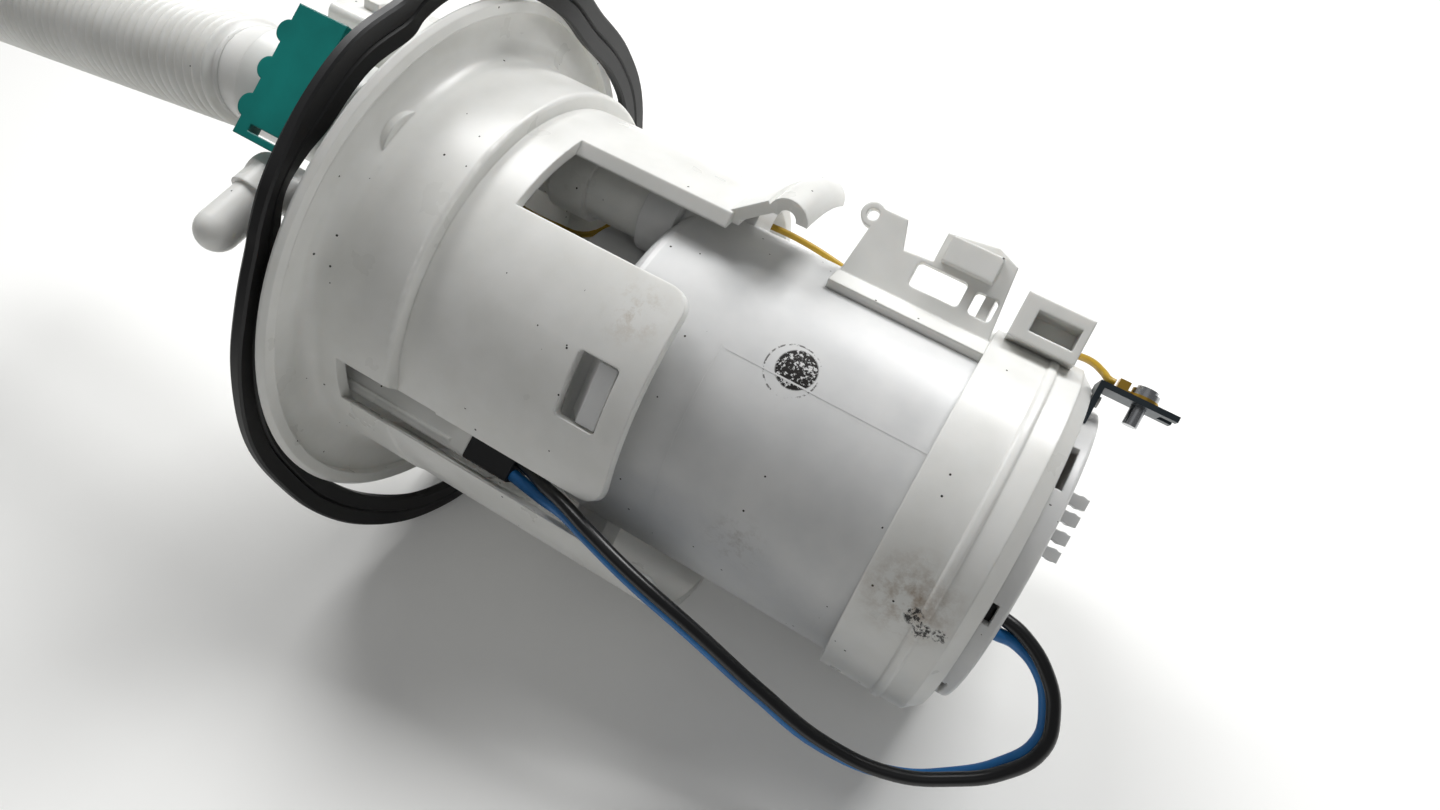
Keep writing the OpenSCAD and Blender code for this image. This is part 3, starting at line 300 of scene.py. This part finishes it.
# %% The two pump wires and the ground wire
PUMP_WIRE, GROUND_WIRE = 2.8, 1.6
black_route = [(-32.6, -26.4, -47.4), (-33.2, -27, -51), (-34, -29.5, -56), (-34.4, -32.5, -62),
               (-36, -35, -70), (-39, -35, -82), (-43, -31, -98), (-47.5, -26, -114), (-50.5, -22.5, -130),
               (-49, -21, -144), (-44, -21, -153.5), (-38, -22, -160.5), (-30, -24, -164.5), (-23, -25, -163),
               (-17, -26, -158.5), (-13, -26, -152), (-12, -26, -147.5), (-12, -26, -145.25)]
blue_route = [(-35.9, -26.4, -47.4), (-36.3, -26.7, -50.9), (-36.6, -28.1, -56.4), (-36.5, -30.6, -62.5),
              (-37.8, -32.8, -69.9), (-40.6, -32.7, -81.3), (-44.5, -28.8, -97.0), (-48.9, -23.7, -113.0),
              (-51.9, -20.0, -129.5), (-49.6, -18.2, -144.0), (-43.8, -18.1, -153.5), (-37.1, -19.3, -160.1),
              (-29.3, -21.4, -163.6), (-23.1, -22.3, -161.9), (-17.7, -23.3, -157.7), (-15.0, -24.0, -151.5),
              (-15.1, -25.7, -147.4), (-15.2, -26.0, -145.25)]
ground_route = [(38.95, -15, -145.9), (39, -14.8, -145), (40.4, -12, -143.4), (42.4, -7, -140.6),
                (43.2, 0, -136), (42.2, 6, -128), (40.9, 10.5, -117), (38.6, 11, -104), (38.5, 10, -92),
                (40.2, 7, -81), (41.2, 6, -70), (41, 6, -58), (41, 6, -45), (38, 8, -35), (30, 14, -25),
                (20, 12, -19), (18, 10, -10), (18, 10, 2.2)]
wire("pump_wire_black", black_route, PUMP_WIRE, black_skin, "wire_black")
wire("pump_wire_blue", blue_route, PUMP_WIRE, blue_skin, "wire_blue")
wire("ground_lead", ground_route, GROUND_WIRE, ochre_skin, "ground_wire")

# %% [markdown]
# ## Studio
# The module lies on a white sheet. The table is a tilted plane here, because the
# camera turned and not the module. Its back face is clear, so that views from
# behind and below aren't blocked.

# %% Lay the table under the module
# Half the side of the sheet and its distance from the seat's centre, in metres, and its lift for the eye
TABLE_HALF, TABLE_DOWN, TABLE_LIFT = 3.0, 0.0641, 0.05
table_normal = Vector((0.63, -0.758, 0.165)).normalized()
table_at = table_normal * -TABLE_DOWN


def table_finish():
    """Matt white that takes a soft shadow, a little lifted for the eye, with a clear back face."""
    material, _, out = new_material("studio table")
    face = add(material, "ShaderNodeBsdfDiffuse", in_Color=shade("F4F4F2"))
    clear = add(material, "ShaderNodeBsdfTransparent")
    side = add(material, "ShaderNodeNewGeometry")
    eye = add(material, "ShaderNodeLightPath")
    lift = add(material, "ShaderNodeEmission", in_Color=shade("FFFFFF"))
    lift.inputs["Strength"].default_value = TABLE_LIFT
    seen = add(material, "ShaderNodeMixShader", {0: eye.outputs["Is Camera Ray"], 2: lift.outputs[0]})
    both = add(material, "ShaderNodeAddShader", {0: face.outputs[0], 1: seen.outputs[0]})
    mix = add(material, "ShaderNodeMixShader",
              {0: side.outputs["Backfacing"], 1: both.outputs[0], 2: clear.outputs[0]})
    material.node_tree.links.new(mix.outputs[0], out.inputs["Surface"])
    return material


sheet = bmesh.new()
bmesh.ops.create_grid(sheet, x_segments=1, y_segments=1, size=TABLE_HALF)
sheet.transform(Matrix.Translation(table_at) @ table_normal.to_track_quat("Z", "Y").to_matrix().to_4x4())
table = put("table", solid("table", sheet))
table.data.materials.append(table_finish())
print("table at", tuple(round(v, 3) for v in table_at))

# %% [markdown]
# ## Light
# The photograph has soft light from above and a wide pale shadow, as from a window
# or a large lamp. Two square area lamps above the module do that, and a faint one
# beside the camera opens the shadows. The room gives a dim white light, so gloss
# and metal have something to mirror, and the eye sees it as pure white.

# %% Light it with two soft boxes from above and a faint one from the camera
HEART = point(0, 0, -60)


def lamp(name, direction, distance, size, power):
    """A square soft box, seen from the module's middle along a direction, in metres and watts."""
    light = bpy.data.lights.new(name, "AREA")
    light.size = size
    light.energy = power
    thing = put(name, light)
    away = direction.normalized()
    thing.matrix_world = (Matrix.Translation(HEART + away * distance)
                          @ away.to_track_quat("Z", "Y").to_matrix().to_4x4())


lamp("key", right * 0.55 + up * 0.9 - ahead * 0.3, 0.8, 0.35, 5)
lamp("top", -right * 0.25 + up * 1.0 - ahead * 0.25, 0.8, 0.35, 3.6)
lamp("fill", -right * 0.2 + up * 0.2 - ahead * 1.0, 1.2, 0.8, 0.4)
print("lamps", len(bpy.data.lights))

# %% Fill the room with a dim white light
ROOM_LIGHT = 0.17
world = bpy.data.worlds.new("studio")
bpy.context.scene.world = world
world.use_nodes = True
lit = world.node_tree.nodes["Background"]
lit.inputs["Color"].default_value = (1, 1, 1, 1)
lit.inputs["Strength"].default_value = ROOM_LIGHT
# The eye sees a white room, and only the room's light is dim
shown = add(world, "ShaderNodeBackground", in_Color=(1, 1, 1, 1), in_Strength=1.0)
from_eye = add(world, "ShaderNodeLightPath")
room = add(world, "ShaderNodeMixShader",
           {0: from_eye.outputs["Is Camera Ray"], 1: lit.outputs[0], 2: shown.outputs[0]})
world.node_tree.links.new(room.outputs[0], world.node_tree.nodes["World Output"].inputs["Surface"])
bpy.context.scene.view_settings.view_transform = "Standard"
print("the room gives", ROOM_LIGHT, "and the eye sees 1")

# %% [markdown]
# ## Finishes of the moulded and metal pieces
# Acetal, nylon and polypropylene scatter light below their skin, which softens
# their shadows. Rubber is dull, and zinc plating is a rough metal.

# %% Marks of handling, as the photograph shows them
# Place, radius, inner radius and soft edge, then colour, grain and cover
# A worn ink dot and a scuff on the case
case_marks = [((10.8, -36.5, -92.1), 4.3, 0, 0.3, "15110F", 0.7, 0.8),
              ((10.3, -36.7, -91.4), 5.7, 5.3, 0.15, "2A2420", 1.5, 0.45),
              ((-24.6, -29.1, -96.2), 9, 0, 7, "A9A59F", 2.5, 0.5)]
# Brown grease with black flecks on the cap, and a faint smear on the front leg
cover_marks = [((-16.6, -37.2, -130.3), 11, 0, 9, "8A6F50", 3.5, 0.8),
               ((-18.9, -36.0, -132.5), 2.2, 0, 0.5, "15100C", 1.1, 0.62),
               ((-20.6, -35.1, -134.8), 1.9, 0, 0.5, "15100C", 0.9, 0.6),
               ((-19.9, -35.5, -138.0), 1.6, 0, 0.4, "1E1610", 0.8, 0.5),
               ((5.8, -46.1, -61.5), 8, 0, 7, "B9AB97", 3.0, 0.5)]
print("marks", len(case_marks) + len(cover_marks))

# %% Plastics
# Acetal from a smooth tool: warm white with soft highlights, and it holds dust and grease
acetal = surface("acetal moulded white", "E9E9E6", "E0E0DC", 0.30, grain_mm=0.35, depth_mm=0.012,
                 specks=0.065, stains=cover_marks, edge_mm=0.6, Subsurface_Weight=0.25,
                 Subsurface_Scale=0.002, Subsurface_Radius=(1.0, 0.9, 0.8), IOR=1.48)
# Polypropylene: a cooler and deeper white that glows a little, with a satin sheen along the case
milky = surface("polypropylene milky", "DBDBDA", "D0D1D1", 0.34, grain_mm=0.6, depth_mm=0.01,
                specks=0.065, stains=case_marks, edge_mm=0.5, Subsurface_Weight=0.5,
                Subsurface_Scale=0.004, Subsurface_Radius=(1.0, 0.95, 0.9), IOR=1.49)
# Nylon: the brightest white, a little duller, for the hose and its fittings
nylon = surface("nylon moulded white", "ECECE9", "E1E1DD", 0.36, grain_mm=0.4, depth_mm=0.015,
                specks=0.04, edge_mm=0.5, Subsurface_Weight=0.2, Subsurface_Scale=0.002,
                Subsurface_Radius=(1.0, 0.9, 0.8), IOR=1.53)
# Acetal dyed teal: the one strong colour, with bright lines along its edges
teal = surface("acetal moulded teal", "00857E", "00736D", 0.30, grain_mm=0.4, depth_mm=0.012,
               edge_mm=0.5, IOR=1.48)
# Nylon dyed black: a dull sheen, which parts the plug from its glossier wires
black_plastic = surface("nylon moulded black", "121315", "0B0C0E", 0.38, grain_mm=0.4, depth_mm=0.02,
                        edge_mm=0.4, IOR=1.53)
# The case's white without its glow, so that a thin line doesn't turn dark
ridge = surface("polypropylene witness ridge", "D9D9D8", "CFD0D0", 0.40, grain_mm=0.6, depth_mm=0.01,
                IOR=1.49)
dress(acetal, "flange_cover", "bottom_cap", "sender_bracket", "outlet_tube", "filter_end_discs")
dress(milky, "filter_case", "end_cover")
dress(nylon, "quick_connector", "hose_end_fitting")
dress(teal, "connector_retainer")
dress(black_plastic, "pump_plug", "terminal_block", "fuel_line")

# %% Rubber, metal and inner pieces
# Nitrile rubber pressed in a mould: black with a broad dull highlight
rubber = surface("nitrile rubber", "0E0E10", "08080A", 0.46, grain_mm=0.5, depth_mm=0.03)
# Zinc plating: pale grey with a blurred shine
zinc = surface("steel zinc plated", "8E9398", "7C8186", 0.36, grain_mm=0.5, depth_mm=0.01, Metallic=1.0)
# Zinc passivated dark: blue-grey, with a duller shine
dark_zinc = surface("steel zinc dark passivated", "4A5257", "3A4146", 0.4, grain_mm=0.5, depth_mm=0.01,
                    Metallic=1.0)
# Steel drawn to wire or ground round: bright, with sharp highlights
bright = surface("steel bright drawn", "B9BBBE", "A5A7AB", 0.25, grain_mm=0.5, depth_mm=0.006,
                 Metallic=1.0)
# Brass stamped from sheet: clear yellow with a smooth shine
brass = surface("brass stamped", "C8A24A", "B08A38", 0.3, grain_mm=0.5, depth_mm=0.008, Metallic=1.0)
# Copper wire under enamel: a reddish brown shine
copper = surface("copper enamelled", "B8743A", "9A5A2A", 0.35, grain_mm=0.5, depth_mm=0.02, Metallic=1.0)
# Zinc cast in a die: pale grey, with the faint grain of the die
cast = surface("zinc die cast", "B4B6B8", "9EA0A3", 0.45, grain_mm=0.6, depth_mm=0.03, Metallic=1.0)
# Ferrite sintered from powder: dull charcoal
ferrite = surface("ferrite sintered", "34363A", "27292C", 0.6, grain_mm=0.4, depth_mm=0.03)
# Carbon pressed to a block: nearly black, with a faint sheen of graphite
carbon = surface("carbon pressed", "2A2A2C", "1E1E20", 0.55, grain_mm=0.3, depth_mm=0.03)
# Phenolic resin moulded hot: dark brown-grey with a soft shine
resin = surface("phenolic moulded", "353331", "2A2826", 0.5, grain_mm=0.5, depth_mm=0.02)
# Filter paper in pleats: cream, without a shine
paper = surface("filter paper pleated", "E2D4A8", "D2C394", 0.85, grain_mm=0.4, depth_mm=0.05)
# Nylon woven to a fine mesh: pale straw, with next to no shine
mesh_cloth = surface("strainer nylon woven", "D8D2BC", "BEB8A2", 0.7, grain_mm=0.3, depth_mm=0.05)
dress(rubber, "flange_gasket", "connector_orings", "outlet_orings", "regulator_oring", "pump_cushion",
      "check_valve")
dress(zinc, "pump_shell", "regulator_body")
dress(dark_zinc, "ground_bracket")
dress(bright, "rotor_shaft", "brush_spring_left", "brush_spring_right", "check_spring", "check_stop",
      "relief_ball", "relief_spring", "relief_plug", "regulator_spring", "regulator_clip", "ground_screw")
dress(brass, "terminal_pins", "bush_upper", "bush_lower", "regulator_valve", "pump_leads", "ring_terminal")
dress(copper, "windings", "commutator")
dress(cast, "pump_body_plate", "pump_inlet_cover", "armature_core")
dress(ferrite, "magnets")
dress(carbon, "brush_left", "brush_right")
dress(resin, "impeller", "pump_outlet_cover")
dress(paper, "filter_element")
dress(mesh_cloth, "inlet_strainer")
print("finishes", len(bpy.data.materials))

# %% [markdown]
# ## The loose gasket
# The tank gasket hangs loosely on the flange. At the back it lies under the rim,
# round the neck, and at the front it was pulled up over the rim, so it crosses the
# edge of the rim twice. A section with a groove in its flat face is carried round.

# %% Carry the gasket section round the flange
RIM_R, RIM_T = 64.0, 5.0
GASKET_W, GASKET_T, GASKET_CUT = 8.4, 2.6, 0.5
GASKET_SECTION = [(-GASKET_W, -GASKET_CUT), (GASKET_CUT - GASKET_W, 0), (-GASKET_W / 2 - GASKET_CUT, 0),
                  (-GASKET_W / 2, -GASKET_CUT), (-GASKET_W / 2 + GASKET_CUT, 0), (-GASKET_CUT, 0),
                  (0, -GASKET_CUT), (0, GASKET_CUT - GASKET_T), (-GASKET_CUT, -GASKET_T),
                  (-GASKET_W / 2 + GASKET_CUT, -GASKET_T), (-GASKET_W / 2, GASKET_CUT - GASKET_T),
                  (-GASKET_W / 2 - GASKET_CUT, -GASKET_T),
                  (GASKET_CUT - GASKET_W, -GASKET_T), (-GASKET_W, GASKET_CUT - GASKET_T)]
# Plan angle, outer edge beyond the rim, height over the rim, tilt
GASKET_ROWS = [(-180, 2.5, -9.5, 0), (-150, 2.5, -9, 0), (-116, 4.6, -8.6, 0), (-99, 3.6, -8.4, 0),
               (-82, 2.8, -8.8, -3), (-69, 6.4, -8.9, -8), (-60, 9, -6.4, -14), (-52, 9.6, -3, -15),
               (-45, 9, 0.2, -12), (-38, 6.4, 2.4, -5), (-33, 4.2, 2.9, 0), (-22, 4.8, 2.9, 0),
               (-10, 3.6, 2.9, 0), (-3, 3.6, 2.1, -14), (5, 4, 0.9, -24), (12, 2.6, 1.1, -18),
               (17, 1.6, 1.2, -16), (27, 1.4, 1.2, -17), (36, 1.7, 1.6, -12), (47, 2.3, 2.1, -6),
               (61, 4, 2.5, -4), (74, 5.9, 1.7, -6), (86, 9, -1.4, -4), (96, 10.2, -5.5, 0),
               (106, 8.6, -10.6, 6), (116, 4, -15, 6), (126, 0.6, -16.5, 0), (138, 0, -15.6, 0),
               (150, 0.2, -14, 0), (165, 2, -11, 0), (180, 2.5, -9.5, 0)]
GASKET_STEPS, GASKET_SHARP = 8, math.radians(40)


def smooth_rows(rows, steps):
    """Rows on a curve through the given rows, as the solid has it."""
    out = []
    for i in range(len(rows) - 1):
        a, b, c, d = rows[max(i - 1, 0)], rows[i], rows[i + 1], rows[min(i + 2, len(rows) - 1)]
        for k in range(steps):
            u = k / steps
            out.append([0.5 * (2 * q + (r - p) * u + (2 * p - 5 * q + 4 * r - t) * u * u
                               + (3 * q - p - 3 * r + t) * u ** 3) for p, q, r, t in zip(a, b, c, d)])
    return out


def gasket_shape():
    """The section at each row, joined to the next."""
    shape = bmesh.new()
    rings = []
    for place, off, rise, tilt in smooth_rows(GASKET_ROWS, GASKET_STEPS):
        turn_at, lean = math.radians(place), math.radians(tilt)
        ring = []
        for across, up_by in GASKET_SECTION:
            r = RIM_R + off + across * math.cos(lean) - up_by * math.sin(lean)
            z = RIM_T + rise + across * math.sin(lean) + up_by * math.cos(lean)
            ring.append(shape.verts.new(point(-r * math.sin(turn_at), -r * math.cos(turn_at), z)))
        rings.append(ring)
    for first, second in zip(rings, rings[1:] + rings[:1]):
        for k in range(len(GASKET_SECTION)):
            n = (k + 1) % len(GASKET_SECTION)
            shape.faces.new((first[k], first[n], second[n], second[k]))
    bmesh.ops.recalc_face_normals(shape, faces=shape.faces)
    return shape


gasket_mesh = solid("tank_gasket", gasket_shape())
for face in gasket_mesh.polygons:
    face.use_smooth = True
gasket_mesh.set_sharp_from_angle(angle=GASKET_SHARP)
gasket = piece("tank_gasket", gasket_mesh, rubber, "module")
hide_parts("flange_gasket")
print("gasket has", len(gasket_mesh.polygons), "faces")

# %% [markdown]
# ## The corrugated hose
# A nylon sleeve with a ridge every three millimetres covers the black fuel line.
# It leaves the quick connector with a slight lean. A profile with one wave per
# ridge is spun round the axis, and the ridges are rounded as blown plastic is.

# %% Spin the hose
LEAN = math.radians(11)
hose_foot = point(14, -42, 35.4)
hose_turn = Matrix.Rotation(-LEAN, 4, "X") @ Matrix.Rotation(-LEAN / 2, 4, "Y")
HOSE_R, HOSE_WALL, HOSE_LIP, PITCH, HOSE_LEN, HOSE_START = 12.0, 2.6, 1.0, 3.0, 147.0, 6.05
# One ridge and the groove after it: share of the pitch, and depth below the crest
WAVE = [(-0.34, 1.7), (-0.26, 1.6), (-0.16, 0.5), (0.0, 0.0), (0.16, 0.0), (0.32, 0.5), (0.42, 1.6),
        (0.5, 1.7)]
HOSE_SIDES, HOSE_MARKS = 72, 20


def hose_profile():
    """Outer wave and inner wall of the sleeve, as radius and height in millimetres."""
    ridges = int(HOSE_LEN / PITCH)
    outer = [(HOSE_R - HOSE_LIP, 0)]
    for i in range(1, ridges):
        outer += [(HOSE_R - depth, (i + step) * PITCH) for step, depth in WAVE]
    outer.append((HOSE_R - HOSE_LIP, HOSE_LEN))
    return outer + [(HOSE_R - HOSE_WALL, HOSE_LEN), (HOSE_R - HOSE_WALL, 0)]


def spun(profile, steps):
    """A closed profile of radius and height in millimetres, spun round Z into a mesh."""
    shape = bmesh.new()
    ring = [shape.verts.new(point(r, 0, z)) for r, z in profile]
    edges = [shape.edges.new((a, b)) for a, b in zip(ring, ring[1:] + ring[:1])]
    bmesh.ops.spin(shape, geom=ring + edges, cent=(0, 0, 0), axis=(0, 0, 1), angle=math.tau, steps=steps,
                   use_merge=True)
    bmesh.ops.remove_doubles(shape, verts=shape.verts, dist=1e-6)
    bmesh.ops.recalc_face_normals(shape, faces=shape.faces)
    for face in shape.faces:
        face.smooth = True
    return shape


hose_shape = spun(hose_profile(), HOSE_SIDES)
hose_shape.transform(Matrix.Translation(hose_foot) @ hose_turn
                     @ Matrix.Translation(point(0, 0, HOSE_START)))
hose_mesh = solid("hose_sleeve", hose_shape)
hose = piece("hose_sleeve", hose_mesh, nylon, "connector")
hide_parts("corrugated_hose")
print("hose has", len(hose_mesh.polygons), "faces")

# %% [markdown]
# ## The witness lines of the mould
# The two halves of the mould left a fine line down the case and another one
# round its shoulder. They stand a twentieth of a millimetre proud.

# %% Lay the lines on the case
CASE_R, LINE_W, LINE_UP = 38.1, 0.35, 0.05
# Plan angle and heights of the long line, then height and plan angles of the arc
LINE_ANGLE, LINE_TOP, LINE_END = -12.5, -78, -121
ARC_Z, ARC_ANGLES = -77.0, range(-13, 60, 3)


def strip(places):
    """A thin raised strip through places given as plan angle and height, on the case."""
    shape = bmesh.new()
    rows = []
    for i, (angle, height) in enumerate(places):
        before, after = places[max(i - 1, 0)], places[min(i + 1, len(places) - 1)]
        along = Vector((math.radians(after[0] - before[0]) * CASE_R, after[1] - before[1])).normalized()
        row = []
        for side, lift in ((-1, -LINE_UP), (-1, LINE_UP), (1, LINE_UP), (1, -LINE_UP)):
            turned = math.radians(angle) - side * along.y * LINE_W / 2 / CASE_R
            r = CASE_R + lift
            z = height + side * along.x * LINE_W / 2
            row.append(shape.verts.new(point(-r * math.sin(turned), -r * math.cos(turned), z)))
        rows.append(row)
    for first, second in zip(rows, rows[1:]):
        for k in range(4):
            shape.faces.new((first[k], first[(k + 1) % 4], second[(k + 1) % 4], second[k]))
    shape.faces.new(rows[0][::-1])
    shape.faces.new(rows[-1])
    bmesh.ops.recalc_face_normals(shape, faces=shape.faces)
    return solid("witness_line", shape)


lines = {"case_line": [(LINE_ANGLE, z) for z in (LINE_TOP, LINE_END)],
         "case_arc": [(angle, ARC_Z) for angle in ARC_ANGLES]}
for line_name, places in lines.items():
    piece(line_name, strip(places), ridge, "module")
print("lines on the case", len(lines))

# %% [markdown]
# ## The springs
# Each spring stands on a fixed seat and is pushed shorter by the piece that moves
# with its joint, so it keeps a share of its length at the end of the travel. Here
# each spring only gets a mesh of its own.

# %% Give each spring a mesh of its own
# Node, joint, height of the fixed end, length at rest and travel in millimetres
SPRINGS = [("check_spring", "check_lift", -52.5, 5.8, 1.5),
           ("relief_spring", "relief_lift", -60.1, 2.6, 1.0),
           ("regulator_spring", "regulator_lift", -13.05, 15.05, 0.8),
           ("brush_spring_left", "left_brush_slide", -60.05, 6.9, 0.8),
           ("brush_spring_right", "right_brush_slide", -60.05, 6.9, 0.8)]
for node_name, joint, fixed, long, travel in SPRINGS:
    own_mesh(nodes[node_name])

# %% [markdown]
# ## The last step

# %% Finish
print("finished")
